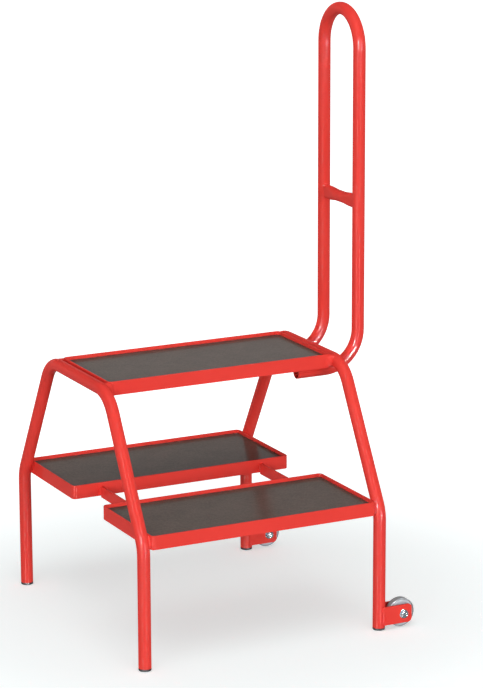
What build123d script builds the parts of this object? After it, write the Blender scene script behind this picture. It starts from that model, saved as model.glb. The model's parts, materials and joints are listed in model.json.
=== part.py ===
"""Double-sided mobile steps: two bent-tube end frames, three boarded treads, a handrail hoop and two wheels.

Millimetres, +Z up. The treads run along X and are climbed along Y, from either side.
The handrail and the wheels are at the +X end. The origin is on the floor, in the middle of the overall outline.
"""

import os

from build123d import *

os.makedirs("parts", exist_ok=True)

# Round tube of the end frames and the handrail
TUBE_OD = 25.0
TUBE_WALL = 2.0
TUBE_R = TUBE_OD / 2
WELD_GAP = 0.2  # root gap between a tube and what is welded to it

# End frames, measured on the tube's centreline
FRAME_SPACING = 507.0  # from the left end frame to the right one
LEG_SPACING = 578.0  # from the front legs to the rear legs
TOP_KNEE_SPACING = 275.0  # between the corners of the level top stretch
TOP_TUBE_HEIGHT = 520.0  # floor to the top of that stretch, and to the rim of the top tread beside it
KNEE_DROP = 23.0  # the legs' lower bends sit this far below the lower treads' rims
FRAME_BEND_RADIUS = 70.0

# Treads: a frame of steel angle with a board let into it
TREAD_HEIGHT = 27.5
TREAD_STEEL = 3.0
TREAD_FLANGE = 28.0
TREAD_CORNER_RADIUS = 9.0
TREAD_EDGE_RADIUS = 0.8
TOP_TREAD_DEPTH = 222.0
LOW_TREAD_DEPTH = 228.0
LOW_TREAD_HEIGHT = 265.0  # floor to the rims of the lower treads
LOW_TREAD_PROUD = 9.5  # their outer faces stand this far outside the legs' centreline
BOARD_THICKNESS = 18.0
BOARD_GAP = 0.8  # between the board's edge and the rim
BOARD_EDGE_CHAMFER = 0.6

# Tie bars between the two lower treads
TIE_INSET = 63.0  # from the treads' ends
TIE_DROP = 8.0  # from the treads' rims down to the bars' upper edges
TIE_HEIGHT = 23.0
TIE_THICKNESS = 5.0
TIE_EDGE_RADIUS = 0.8

# Handrail hoop
HANDRAIL_TOP = 1200.0
RAIL_SPACING = 144.0
RAIL_OFFSET = 69.0  # from the right end frame out to the rails
RAIL_BEND_RADIUS = 75.0
RUN_LENGTH = 70.0  # from the right end frame in to the open ends under the top tread
CROSSBAR_HEIGHT = 811.0
CROSSBAR_OD = 23.0
CROSSBAR_OVAL = 0.2  # its round part is this much taller than it is wide
CROSSBAR_WALL = 1.5
CROSSBAR_END_HEIGHT = 28.0
CROSSBAR_END_WIDTH = 16.0
CROSSBAR_FLATTENED = 22.0  # length of each flattened end
CROSSBAR_TAPER = 22.0  # length over which the round part runs out into it

# Foot caps
FOOT_CAP_HEIGHT = 5.0
FOOT_CAP_EDGE = 1.2
FOOT_STEM_LENGTH = 24.0
FOOT_STEM_CLEARANCE = 0.15

# Wheels, outside the two right legs
WHEEL_DIAMETER = 58.0
WHEEL_FLOOR_GAP = 0.5
WHEEL_LEG_GAP = 5.0
TYRE_WIDTH = 14.0
TYRE_DEPTH = 3.0
TYRE_SHOULDER = 1.5
CORE_RIM_DEPTH = 5.0
CORE_RIM_INSET = 0.8  # the rim is this much narrower than the tyre on each side
CORE_WEB_THICKNESS = 6.0
CORE_RIB_COUNT = 6
CORE_RIB_THICKNESS = 2.5
CORE_RIB_INSET = 1.6  # the ribs stay this far inside the rim's faces
HUB_DIAMETER = 21.0
HUB_SIDE_GAP = 0.5
BORE_CLEARANCE = 0.06

# Wheel forks: two flat cheeks on each leg
CHEEK_THICKNESS = 4.0
CHEEK_HEIGHT = 37.0
CHEEK_START = 3.0  # from the leg's centreline
CHEEK_PAST_AXLE = 18.5
CHEEK_CORNER_RADIUS = 8.0
CHEEK_EDGE_RADIUS = 0.6

# Axles
AXLE_DIAMETER = 8.0
AXLE_HOLE_CLEARANCE = 0.2
SLEEVE_DIAMETER = 12.0
HEX_SIDES = 6
HEX_ACROSS_FLATS = 13.0
HEX_CHAMFER = 0.9
BOLT_HEAD_HEIGHT = 5.3
NUT_HEIGHT = 8.0
NUT_CLEARANCE = 0.05
BOLT_PAST_NUT = 3.0
BOLT_END_CHAMFER = 0.8
WASHER_DIAMETER = 18.0
WASHER_THICKNESS = 1.6

# Places worked out from the sizes above
FRAME_X = FRAME_SPACING / 2
LEG_Y = LEG_SPACING / 2
TOP_KNEE_Y = TOP_KNEE_SPACING / 2
TOP_TUBE_Z = TOP_TUBE_HEIGHT - TUBE_R
KNEE_Z = LOW_TREAD_HEIGHT - KNEE_DROP
TREAD_LENGTH = FRAME_SPACING - TUBE_OD - 2 * WELD_GAP
LOW_TREAD_OUTER_Y = LEG_Y + LOW_TREAD_PROUD
LOW_TREAD_INNER_Y = LOW_TREAD_OUTER_Y - LOW_TREAD_DEPTH
LOW_TREAD_MID_Y = (LOW_TREAD_OUTER_Y + LOW_TREAD_INNER_Y) / 2
RAIL_Y = RAIL_SPACING / 2
RUN_Z = TOP_TUBE_HEIGHT - TREAD_HEIGHT - WELD_GAP - TUBE_R
WHEEL_R = WHEEL_DIAMETER / 2
AXLE_OFFSET = TUBE_R + WHEEL_LEG_GAP + WHEEL_R  # from the leg's centreline
AXLE_Z = WHEEL_R + WHEEL_FLOOR_GAP
FORK_HALF_GAP = TUBE_R + WELD_GAP
CORE_R = WHEEL_R - TYRE_DEPTH

# The stand's middle plane lies to the left of the origin, because handrail and wheels stick out on the right
REACH_LEFT = FRAME_X + TUBE_R
REACH_RIGHT = FRAME_X + max(RAIL_OFFSET + TUBE_R, AXLE_OFFSET + WHEEL_R)
MID_X = (REACH_LEFT - REACH_RIGHT) / 2
RIGHT_FRAME_X = MID_X + FRAME_X
RAIL_X = RIGHT_FRAME_X + RAIL_OFFSET
AXLE_X = RIGHT_FRAME_X + AXLE_OFFSET

# Sides: name and sign
ENDS = (("left", -1), ("right", 1))  # along X
FACES = (("front", -1), ("rear", 1))  # along Y


def finish(part, name):
    """Labels a finished piece and writes it to its own file."""
    part.label = name
    export_step(part, f"parts/{name}.step")


def tube_section(outer_radius, wall):
    """A ring, drawn in the sketch that is open."""
    Circle(outer_radius)
    Circle(outer_radius - wall, mode=Mode.SUBTRACT)


# End frames
HALF_OUTLINE = ((LEG_Y, FOOT_CAP_HEIGHT), (LEG_Y, KNEE_Z), (TOP_KNEE_Y, TOP_TUBE_Z))  # columns: y, z
for end, side in ENDS:
    frame_plane = Plane(origin=(MID_X + side * FRAME_X, 0, 0), x_dir=(0, 1, 0), z_dir=(1, 0, 0))
    with BuildPart() as end_frame:
        with BuildLine(frame_plane) as frame_path:
            outline = [(-y, z) for y, z in HALF_OUTLINE] + list(reversed(HALF_OUTLINE))
            FilletPolyline(*outline, radius=FRAME_BEND_RADIUS)
        with BuildSketch(Plane(origin=frame_path.line @ 0, z_dir=frame_path.line % 0)):
            tube_section(TUBE_R, TUBE_WALL)
        sweep(path=frame_path.line)
    finish(end_frame.part, f"end_frame_{end}")

# Treads, columns: name, middle y, depth, rim height
TREADS = (
    ("top_tread", 0, TOP_TREAD_DEPTH, TOP_TUBE_HEIGHT),
    ("front_tread", -LOW_TREAD_MID_Y, LOW_TREAD_DEPTH, LOW_TREAD_HEIGHT),
    ("rear_tread", LOW_TREAD_MID_Y, LOW_TREAD_DEPTH, LOW_TREAD_HEIGHT),
)
for tread, mid_y, depth, rim_z in TREADS:
    underside = Plane(origin=(MID_X, mid_y, rim_z - TREAD_HEIGHT))
    seat = underside.offset(TREAD_STEEL)
    with BuildPart() as tread_frame:
        with BuildSketch(underside):
            RectangleRounded(TREAD_LENGTH, depth, TREAD_CORNER_RADIUS)
        extrude(amount=TREAD_HEIGHT)
        with BuildSketch(seat):
            RectangleRounded(
                TREAD_LENGTH - 2 * TREAD_STEEL,
                depth - 2 * TREAD_STEEL,
                TREAD_CORNER_RADIUS - TREAD_STEEL,
            )
        extrude(amount=TREAD_HEIGHT - TREAD_STEEL, mode=Mode.SUBTRACT)
        with BuildSketch(underside):
            Rectangle(TREAD_LENGTH - 2 * TREAD_FLANGE, depth - 2 * TREAD_FLANGE)
        extrude(amount=TREAD_STEEL, mode=Mode.SUBTRACT)
        fillet(tread_frame.edges().group_by(Axis.Z)[-1], TREAD_EDGE_RADIUS)
        underside_face = tread_frame.faces().sort_by(Axis.Z)[0]
        fillet(underside_face.outer_wire().edges(), TREAD_EDGE_RADIUS)
    finish(tread_frame.part, f"{tread}_frame")

    board_inset = TREAD_STEEL + BOARD_GAP
    with BuildPart() as board:
        with BuildSketch(seat):
            RectangleRounded(
                TREAD_LENGTH - 2 * board_inset,
                depth - 2 * board_inset,
                TREAD_CORNER_RADIUS - board_inset,
            )
        extrude(amount=BOARD_THICKNESS)
        chamfer(board.edges().group_by(Axis.Z)[-1], BOARD_EDGE_CHAMFER)
    finish(board.part, f"{tread}_board")

# Tie bars between the lower treads
for end, side in ENDS:
    tie_x = MID_X + side * (TREAD_LENGTH / 2 - TIE_INSET)
    tie_middle = (tie_x, 0, LOW_TREAD_HEIGHT - TIE_DROP - TIE_HEIGHT / 2)
    with BuildPart(Plane(origin=tie_middle)) as tie_bar:
        Box(TIE_THICKNESS, 2 * LOW_TREAD_INNER_Y, TIE_HEIGHT)
        fillet(tie_bar.edges().filter_by(Axis.Y), TIE_EDGE_RADIUS)
    finish(tie_bar.part, f"tie_bar_{end}")

# Handrail hoop: level run, bend, rail, half circle, and the same back again
RUN_END_X = RIGHT_FRAME_X - RUN_LENGTH
BEND_X = RAIL_X - RAIL_BEND_RADIUS
BEND_TOP_Z = RUN_Z + RAIL_BEND_RADIUS
HOOP_TOP_Z = HANDRAIL_TOP - TUBE_R
HOOP_SPRING_Z = HOOP_TOP_Z - RAIL_Y
with BuildPart() as hoop:
    with BuildLine() as hoop_path:
        for y in (-RAIL_Y, RAIL_Y):
            Line((RUN_END_X, y, RUN_Z), (BEND_X, y, RUN_Z))
            TangentArc((BEND_X, y, RUN_Z), (RAIL_X, y, BEND_TOP_Z), tangent=(1, 0, 0))
            Line((RAIL_X, y, BEND_TOP_Z), (RAIL_X, y, HOOP_SPRING_Z))
        ThreePointArc((RAIL_X, -RAIL_Y, HOOP_SPRING_Z), (RAIL_X, 0, HOOP_TOP_Z), (RAIL_X, RAIL_Y, HOOP_SPRING_Z))
    with BuildSketch(Plane(origin=(RUN_END_X, -RAIL_Y, RUN_Z), z_dir=(1, 0, 0))):
        tube_section(TUBE_R, TUBE_WALL)
    sweep(path=hoop_path.wire())
finish(hoop.part, "handrail_hoop")

# Handrail crossbar: a tube with flattened ends, coped to the rails
ROUND_HALF = RAIL_Y - TUBE_R - CROSSBAR_FLATTENED - CROSSBAR_TAPER
FLAT_START = RAIL_Y - TUBE_R - CROSSBAR_FLATTENED
# columns: y, height, width
CROSSBAR_SECTIONS = (
    (-RAIL_Y, CROSSBAR_END_HEIGHT, CROSSBAR_END_WIDTH),
    (-FLAT_START, CROSSBAR_END_HEIGHT, CROSSBAR_END_WIDTH),
    (-ROUND_HALF, CROSSBAR_OD + CROSSBAR_OVAL, CROSSBAR_OD),
    (ROUND_HALF, CROSSBAR_OD + CROSSBAR_OVAL, CROSSBAR_OD),
    (FLAT_START, CROSSBAR_END_HEIGHT, CROSSBAR_END_WIDTH),
    (RAIL_Y, CROSSBAR_END_HEIGHT, CROSSBAR_END_WIDTH),
)
with BuildPart() as crossbar:
    for inset, mode in ((0, Mode.ADD), (CROSSBAR_WALL, Mode.SUBTRACT)):
        for y, height, width in CROSSBAR_SECTIONS:
            with BuildSketch(Plane(origin=(RAIL_X, y, CROSSBAR_HEIGHT), x_dir=(0, 0, 1), z_dir=(0, 1, 0))):
                SlotOverall(height - 2 * inset, width - 2 * inset)
        loft(ruled=True, mode=mode)
    with Locations((RAIL_X, -RAIL_Y, CROSSBAR_HEIGHT), (RAIL_X, RAIL_Y, CROSSBAR_HEIGHT)):
        Cylinder(TUBE_R + WELD_GAP, 2 * CROSSBAR_END_HEIGHT, mode=Mode.SUBTRACT)
finish(crossbar.part, "handrail_crossbar")

# Foot caps
STEM_R = TUBE_R - TUBE_WALL - FOOT_STEM_CLEARANCE
UPWARD = (Align.CENTER, Align.CENTER, Align.MIN)
for face, y_side in FACES:
    for end, x_side in ENDS:
        foot = Plane(origin=(MID_X + x_side * FRAME_X, y_side * LEG_Y, 0))
        with BuildPart(foot) as foot_cap:
            Cylinder(TUBE_R, FOOT_CAP_HEIGHT, align=UPWARD)
            chamfer(foot_cap.edges().group_by(Axis.Z)[0], FOOT_CAP_EDGE)
            Cylinder(STEM_R, FOOT_CAP_HEIGHT + FOOT_STEM_LENGTH, align=UPWARD)
        finish(foot_cap.part, f"foot_cap_{face}_{end}")

# Wheels with their forks and axles, one at each right leg.
# Along an axle, out is the way from the steps' middle plane to the bolt's head.
CHEEK_OUTER = FORK_HALF_GAP + CHEEK_THICKNESS
WASHER_OUTER = CHEEK_OUTER + WASHER_THICKNESS
HUB_HALF = FORK_HALF_GAP - HUB_SIDE_GAP
TYRE_HALF = TYRE_WIDTH / 2
RIM_HALF = TYRE_HALF - CORE_RIM_INSET
BORE_R = SLEEVE_DIAMETER / 2 + BORE_CLEARANCE
RIM_INNER_R = CORE_R - CORE_RIM_DEPTH
HUB_R = HUB_DIAMETER / 2
for face, out in FACES:
    hub_middle = Vector(AXLE_X, out * LEG_Y, AXLE_Z)
    axle_axis = Axis(hub_middle, (0, 1, 0))
    radial_plane = Plane(origin=hub_middle, x_dir=(0, 1, 0), z_dir=(1, 0, 0))  # local x along the axle
    outward = Plane(origin=hub_middle, x_dir=(1, 0, 0), z_dir=(0, out, 0))

    for place, way in (("outer", 1), ("inner", -1)):
        cheek_plane = Plane(
            origin=hub_middle + Vector(-AXLE_OFFSET, out * way * FORK_HALF_GAP, 0),
            x_dir=(1, 0, 0),
            z_dir=(0, out * way, 0),
        )
        cheek_length = AXLE_OFFSET + CHEEK_PAST_AXLE - CHEEK_START
        with BuildPart() as cheek:
            with BuildSketch(cheek_plane) as cheek_outline:
                with Locations((CHEEK_START, 0)):
                    Rectangle(cheek_length, CHEEK_HEIGHT, align=(Align.MIN, Align.CENTER))
                fillet(cheek_outline.vertices().group_by(Axis.X)[-1], CHEEK_CORNER_RADIUS)
                with Locations((AXLE_OFFSET, 0)):
                    Circle(AXLE_DIAMETER / 2 + AXLE_HOLE_CLEARANCE, mode=Mode.SUBTRACT)
            extrude(amount=CHEEK_THICKNESS)
            outer_face = cheek.faces().sort_by(Axis(cheek_plane.origin, cheek_plane.z_dir))[-1]
            fillet(outer_face.outer_wire().edges(), CHEEK_EDGE_RADIUS)
        finish(cheek.part, f"fork_cheek_{face}_{place}")

    with BuildPart() as washers:
        for start in (CHEEK_OUTER, -WASHER_OUTER):
            with BuildSketch(outward.offset(start)):
                Circle(WASHER_DIAMETER / 2)
                Circle(AXLE_DIAMETER / 2 + AXLE_HOLE_CLEARANCE, mode=Mode.SUBTRACT)
            extrude(amount=WASHER_THICKNESS)
    finish(washers.part, f"axle_washers_{face}")

    with BuildPart() as bolt:
        with BuildSketch(outward.offset(WASHER_OUTER)):
            RegularPolygon(HEX_ACROSS_FLATS / 2, HEX_SIDES, major_radius=False)
        extrude(amount=BOLT_HEAD_HEIGHT)
        head_end = bolt.faces().sort_by(Axis(hub_middle, (0, out, 0)))[-1]
        chamfer(head_end.edges(), HEX_CHAMFER)
        shank_length = 2 * WASHER_OUTER + NUT_HEIGHT + BOLT_PAST_NUT
        with BuildSketch(outward.offset(WASHER_OUTER)):
            Circle(AXLE_DIAMETER / 2)
        extrude(amount=-shank_length)
        shank_end = bolt.faces().sort_by(Axis(hub_middle, (0, out, 0)))[0]
        chamfer(shank_end.edges(), BOLT_END_CHAMFER)
    finish(bolt.part, f"axle_bolt_{face}")

    with BuildPart() as nut:
        with BuildSketch(outward.offset(-WASHER_OUTER)):
            RegularPolygon(HEX_ACROSS_FLATS / 2, HEX_SIDES, major_radius=False)
        extrude(amount=-NUT_HEIGHT)
        nut_end = nut.faces().sort_by(Axis(hub_middle, (0, out, 0)))[0]
        chamfer(nut_end.edges(), HEX_CHAMFER)
        with BuildSketch(outward.offset(-WASHER_OUTER)):
            Circle(AXLE_DIAMETER / 2 + NUT_CLEARANCE)
        extrude(amount=-NUT_HEIGHT, mode=Mode.SUBTRACT)
    finish(nut.part, f"axle_nut_{face}")

    with BuildPart() as sleeve:
        with BuildSketch(outward.offset(-FORK_HALF_GAP)):
            Circle(SLEEVE_DIAMETER / 2)
            Circle(AXLE_DIAMETER / 2 + AXLE_HOLE_CLEARANCE, mode=Mode.SUBTRACT)
        extrude(amount=2 * FORK_HALF_GAP)
    finish(sleeve.part, f"axle_sleeve_{face}")

    # Core: hub, web, rim and radial ribs
    with BuildPart() as core:
        with BuildSketch(radial_plane):
            # columns: inner radius, outer radius, half width
            for inner_r, outer_r, half in (
                (BORE_R, HUB_R, HUB_HALF),
                (HUB_R, RIM_INNER_R, CORE_WEB_THICKNESS / 2),
                (RIM_INNER_R, CORE_R, RIM_HALF),
            ):
                with Locations((0, (inner_r + outer_r) / 2)):
                    Rectangle(2 * half, outer_r - inner_r)
        revolve(axis=axle_axis)
        rib_length = RIM_INNER_R - HUB_R
        with BuildSketch(outward.offset(CORE_RIB_INSET - RIM_HALF)):
            with PolarLocations((HUB_R + RIM_INNER_R) / 2, CORE_RIB_COUNT):
                Rectangle(rib_length + CORE_RIB_INSET, CORE_RIB_THICKNESS)
        extrude(amount=2 * (RIM_HALF - CORE_RIB_INSET))
    finish(core.part, f"wheel_core_{face}")

    # Tyre: a ring with rounded shoulders
    with BuildPart() as tyre:
        with BuildSketch(radial_plane) as tyre_section:
            with Locations((0, CORE_R)):
                Rectangle(TYRE_WIDTH, TYRE_DEPTH, align=(Align.CENTER, Align.MIN))
            fillet(tyre_section.vertices().group_by(Axis.Y)[-1], TYRE_SHOULDER)
        revolve(axis=axle_axis)
    finish(tyre.part, f"wheel_tyre_{face}")
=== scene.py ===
"""Mobile steps: finishes, weld beads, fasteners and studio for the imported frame. Metres, +Z up."""

import json
import math

import bpy
from mathutils import Matrix, Vector


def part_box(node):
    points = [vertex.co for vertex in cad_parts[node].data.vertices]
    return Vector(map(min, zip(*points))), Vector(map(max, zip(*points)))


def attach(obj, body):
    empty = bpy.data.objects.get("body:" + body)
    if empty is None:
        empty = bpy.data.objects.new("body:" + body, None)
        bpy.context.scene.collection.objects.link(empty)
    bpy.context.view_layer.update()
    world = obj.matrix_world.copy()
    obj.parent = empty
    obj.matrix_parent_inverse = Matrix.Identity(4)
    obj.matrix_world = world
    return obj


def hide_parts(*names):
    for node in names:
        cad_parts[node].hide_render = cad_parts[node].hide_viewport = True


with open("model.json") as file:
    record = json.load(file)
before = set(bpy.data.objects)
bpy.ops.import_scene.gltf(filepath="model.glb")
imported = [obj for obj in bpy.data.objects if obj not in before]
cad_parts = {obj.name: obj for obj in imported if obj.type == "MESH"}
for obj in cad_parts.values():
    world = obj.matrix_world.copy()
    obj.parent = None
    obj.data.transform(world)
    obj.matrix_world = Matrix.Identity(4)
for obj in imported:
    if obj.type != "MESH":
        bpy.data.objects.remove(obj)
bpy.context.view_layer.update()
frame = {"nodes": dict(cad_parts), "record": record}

MM = 0.001
TAU = math.tau

# Camera, seen from the middle of the stand
CAMERA_AZIMUTH = -26.68
CAMERA_ELEVATION = 13.88
CAMERA_ROLL = -0.21
CAMERA_DISTANCE = 5.7509
CAMERA_TARGET = Vector((0.0489, -0.0303, 0.5407))
CAMERA_LENS = 152.3
SENSOR_SIZE = 36.0
CAMERA_SEES_TO = 500.0

# Sizes of the steps that the scene's own pieces are fitted to
TUBE_R = 12.5 * MM
FRAME_BEND_RADIUS = 70 * MM
LEG_Y = 289 * MM
KNEE_Z = 242 * MM
TOP_KNEE_Y = 137.5 * MM
TOP_TUBE_Z = 507.5 * MM
RAIL_Y = 72 * MM
CROSSBAR_Z = 811 * MM
CROSSBAR_END_HEIGHT = 28 * MM
CROSSBAR_END_WIDTH = 16 * MM
TREAD_FLANGE = 28 * MM
HEX_ACROSS_FLATS = 13 * MM
BOLT_DIAMETER = 8 * MM
BOLT_HEAD_HEIGHT = 5.3 * MM
NUT_HEIGHT = 8 * MM
WASHER_DIAMETER = 18 * MM
WASHER_THICKNESS = 1.6 * MM
THREAD_PITCH = 1.25 * MM
TYRE_WIDTH = 14 * MM
TYRE_DEPTH = 3 * MM
TYRE_SHOULDER = 1.5 * MM
FOOT_CAP_HEIGHT = 5 * MM
FOOT_STEM_R = 10.35 * MM
FOOT_STEM_TOP = 29 * MM

FACES = (("front", -1), ("rear", 1))  # along Y
ENDS = (("left", -1), ("right", 1))  # along X


# Places read off the frame

def middle(node_name):
    low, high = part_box(node_name)
    return (Vector(low) + Vector(high)) / 2


FRAME_X = {end: middle(f"end_frame_{end}").x for end, side in ENDS}
TREAD_END_X = {end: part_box("top_tread_frame")[0 if side < 0 else 1][0] for end, side in ENDS}
RAIL_X = middle("handrail_crossbar").x
AXLE = {face: middle(f"wheel_tyre_{face}") for face, out in FACES}
LOW_TREAD_BOTTOM, LOW_TREAD_TOP = (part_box("front_tread_frame")[i][2] for i in (0, 1))
TOP_TREAD_BOTTOM, TOP_TREAD_TOP = (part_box("top_tread_frame")[i][2] for i in (0, 1))
TOP_TREAD_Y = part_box("top_tread_frame")[1][1]
LOW_TREAD_INNER_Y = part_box("rear_tread_frame")[0][1]


def leg_line(z):
    """Distance of an end frame's centreline from the middle plane, up a leg and along its slope."""
    slope = math.atan2(TOP_TUBE_Z - KNEE_Z, LEG_Y - TOP_KNEE_Y)
    turn = math.pi / 2 - slope
    tangent = FRAME_BEND_RADIUS * math.tan(turn / 2)
    if z < KNEE_Z - tangent:
        return LEG_Y
    if z < KNEE_Z + tangent * math.sin(slope):
        rise = z - (KNEE_Z - tangent)
        return LEG_Y - FRAME_BEND_RADIUS + math.sqrt(FRAME_BEND_RADIUS ** 2 - rise ** 2)
    return LEG_Y - (z - KNEE_Z) / math.tan(slope)


def top_bend_drop(y):
    """Drop of an end frame's centreline below its level stretch, at that distance from the middle plane."""
    slope = math.atan2(TOP_TUBE_Z - KNEE_Z, LEG_Y - TOP_KNEE_Y)
    level_end = TOP_KNEE_Y - FRAME_BEND_RADIUS * math.tan(slope / 2)
    return FRAME_BEND_RADIUS - math.sqrt(FRAME_BEND_RADIUS ** 2 - max(0.0, y - level_end) ** 2)


# Shader building

def node(tree, kind, settings=None, **sockets):
    """Adds a shader node. A socket's value may be another node's output."""
    made = tree.nodes.new(kind)
    for key, value in (settings or {}).items():
        setattr(made, key, value)
    for key, value in sockets.items():
        plug(tree, made.inputs[key.replace("_", " ")], value)
    return made


def plug(tree, socket, value):
    if isinstance(value, bpy.types.NodeSocket):
        tree.links.new(value, socket)
    else:
        socket.default_value = value


def sums(tree, operation, first, second=0.0, third=0.0, clamp=False):
    """A Math node's result."""
    made = tree.nodes.new("ShaderNodeMath")
    made.operation = operation
    made.use_clamp = clamp
    for socket, value in zip(made.inputs, (first, second, third)):
        plug(tree, socket, value)
    return made.outputs[0]


def spread(tree, value, low, high, to_low=0.0, to_high=1.0):
    """A value moved smoothly from one range to another."""
    made = node(
        tree, "ShaderNodeMapRange", {"interpolation_type": "SMOOTHSTEP"},
        Value=value, From_Min=low, From_Max=high, To_Min=to_low, To_Max=to_high,
    )
    return made.outputs["Result"]


MIX_FACTOR, MIX_FIRST, MIX_SECOND, MIX_RESULT = 0, 6, 7, 2  # a Mix node's sockets for colours


def blend(tree, factor, first, second):
    """Two colours mixed by a factor."""
    made = node(tree, "ShaderNodeMix", {"data_type": "RGBA"})
    plug(tree, made.inputs[MIX_FACTOR], factor)
    plug(tree, made.inputs[MIX_FIRST], first)
    plug(tree, made.inputs[MIX_SECOND], second)
    return made.outputs[MIX_RESULT]


def noise(tree, place, size, detail=2.0):
    """Noise with lumps of about that size, from 0 to 1."""
    scale = sums(tree, "DIVIDE", 1.0, size)
    return node(tree, "ShaderNodeTexNoise", None, Vector=place, Scale=scale, Detail=detail).outputs["Fac"]


def new_group(name, inputs, outputs):
    """An empty node group, with its input and output sockets. Tables: name, kind, value; name, kind."""
    tree = bpy.data.node_groups.new(name, "ShaderNodeTree")
    for label, kind, value in inputs:
        tree.interface.new_socket(label, in_out="INPUT", socket_type=kind).default_value = value
    for label, kind in outputs:
        tree.interface.new_socket(label, in_out="OUTPUT", socket_type=kind)
    return tree, node(tree, "NodeGroupInput").outputs, node(tree, "NodeGroupOutput").inputs


def use(tree, group, **values):
    """Places a node group with its own values."""
    made = tree.nodes.new("ShaderNodeGroup")
    made.node_tree = group
    for key, value in values.items():
        plug(tree, made.inputs[key.replace("_", " ")], value)
    return made.outputs


FLOAT, COLOUR = "NodeSocketFloat", "NodeSocketColor"


def surface_place(tree):
    return node(tree, "ShaderNodeTexCoord").outputs["Object"]


def make_tone_drift():
    """Slow changes of shade over a surface, with a finer mottle in them."""
    tree, given, put = new_group(
        "tone_drift",
        (("Color", COLOUR, (0.5, 0.5, 0.5, 1)), ("Second Color", COLOUR, (0.4, 0.4, 0.4, 1)),
         ("Size", FLOAT, 0.1), ("Mottle Size", FLOAT, 0.004), ("Mottle", FLOAT, 0.3)),
        (("Color", COLOUR), ("Mask", FLOAT)),
    )
    place = surface_place(tree)
    broad = spread(tree, noise(tree, place, given["Size"]), 0.3, 0.7)
    fine = noise(tree, place, given["Mottle Size"], 3.0)
    apart = sums(tree, "SUBTRACT", fine, broad)
    mask = sums(tree, "MULTIPLY_ADD", apart, given["Mottle"], broad, clamp=True)
    tree.links.new(blend(tree, mask, given["Color"], given["Second Color"]), put["Color"])
    tree.links.new(mask, put["Mask"])
    return tree


def make_flow_ripple():
    """The low ripple of a coat that flowed out as it cured, or of a moulded skin."""
    tree, given, put = new_group(
        "flow_ripple",
        (("Size", FLOAT, 0.0022), ("Grain Size", FLOAT, 0.0005), ("Grain", FLOAT, 0.15)),
        (("Height", FLOAT),),
    )
    place = surface_place(tree)
    ripple = noise(tree, place, given["Size"], 1.0)
    grain = noise(tree, place, given["Grain Size"], 2.0)
    tree.links.new(sums(tree, "MULTIPLY_ADD", grain, given["Grain"], ripple), put["Height"])
    return tree


EDGE_FLAT, EDGE_TURNED = 0.995, 0.85  # cosine between the true and the rounded normal


def make_edge_wear_and_highlight():
    """A mask of outer edges, where a coat runs thin and handling shows first, and where the finishes paint an
    edge highlight.
    """
    tree, given, put = new_group(
        "edge_wear_and_highlight",
        (("Width", FLOAT, 0.001), ("Break Up Size", FLOAT, 0.006)),
        (("Mask", FLOAT),),
    )
    bevel = node(tree, "ShaderNodeBevel", {"samples": 4}, Radius=given["Width"])
    true_normal = node(tree, "ShaderNodeNewGeometry").outputs["Normal"]
    lean = node(tree, "ShaderNodeVectorMath", {"operation": "DOT_PRODUCT"})
    tree.links.new(bevel.outputs["Normal"], lean.inputs[0])
    tree.links.new(true_normal, lean.inputs[1])
    turned = spread(tree, lean.outputs["Value"], EDGE_FLAT, EDGE_TURNED)
    broken = spread(tree, noise(tree, surface_place(tree), given["Break Up Size"], 3.0), 0.35, 0.7)
    tree.links.new(sums(tree, "MULTIPLY", turned, broken), put["Mask"])
    return tree


RUB_TURNS = (0.5, 2.1)  # radians
RUB_RAREST, RUB_RANGE, RUB_FADE = 0.75, 0.25, 0.1  # levels in the noise that the rubs are cut from


def make_rub_marks():
    """Short fine rubs in two directions, few and faint."""
    tree, given, put = new_group(
        "rub_marks",
        (("Length", FLOAT, 0.03), ("Width", FLOAT, 0.0006), ("Share", FLOAT, 0.3)),
        (("Mask", FLOAT),),
    )
    place = surface_place(tree)
    masks = []
    for turn in RUB_TURNS:
        turned = node(tree, "ShaderNodeVectorRotate", {"rotation_type": "Z_AXIS"}, Vector=place, Angle=turn)
        parts = node(tree, "ShaderNodeSeparateXYZ", None, Vector=turned.outputs["Vector"]).outputs
        stretched = node(
            tree, "ShaderNodeCombineXYZ", None,
            X=sums(tree, "DIVIDE", parts["X"], given["Length"]),
            Y=sums(tree, "DIVIDE", parts["Y"], given["Width"]),
            Z=sums(tree, "DIVIDE", parts["Z"], given["Width"]),
        ).outputs["Vector"]
        lines = node(tree, "ShaderNodeTexNoise", None, Vector=stretched, Scale=1.0, Detail=1.0).outputs["Fac"]
        edge = sums(tree, "MULTIPLY_ADD", given["Share"], -RUB_RANGE, RUB_RAREST)
        masks.append(spread(tree, lines, edge, sums(tree, "ADD", edge, RUB_FADE)))
    tree.links.new(sums(tree, "MAXIMUM", *masks), put["Mask"])
    return tree


TONE_DRIFT = make_tone_drift()
FLOW_RIPPLE = make_flow_ripple()
EDGE_WEAR_AND_HIGHLIGHT = make_edge_wear_and_highlight()
RUB_MARKS = make_rub_marks()


def new_finish(name, **sockets):
    """A material with a Principled BSDF and its constant values."""
    material = bpy.data.materials.new(name)
    material.use_nodes = True
    shader = material.node_tree.nodes["Principled BSDF"]
    for key, value in sockets.items():
        shader.inputs[key.replace("_", " ")].default_value = value
    return material, material.node_tree, shader.inputs


def bump(tree, height, distance):
    return node(tree, "ShaderNodeBump", None, Height=height, Distance=distance).outputs["Normal"]


RED = (0.81, 0.054, 0.042, 1)
RED_DEEP = (0.77, 0.048, 0.037, 1)
RED_THIN_AND_HIGHLIGHT = (0.84, 0.073, 0.053, 1)  # on edges: the coat runs thin there, and it is also a painted edge highlight
RED_THIN_AND_HIGHLIGHT_SHARE = 0.3
COAT_ROUGHNESS, COAT_ROUGHNESS_DRIFT, COAT_ROUGHNESS_RUBBED = 0.5, 0.05, 0.08
GLOSS_WEIGHT, GLOSS_ROUGHNESS = 0.17, 0.04
COAT_RELIEF = 0.06 * MM


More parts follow.
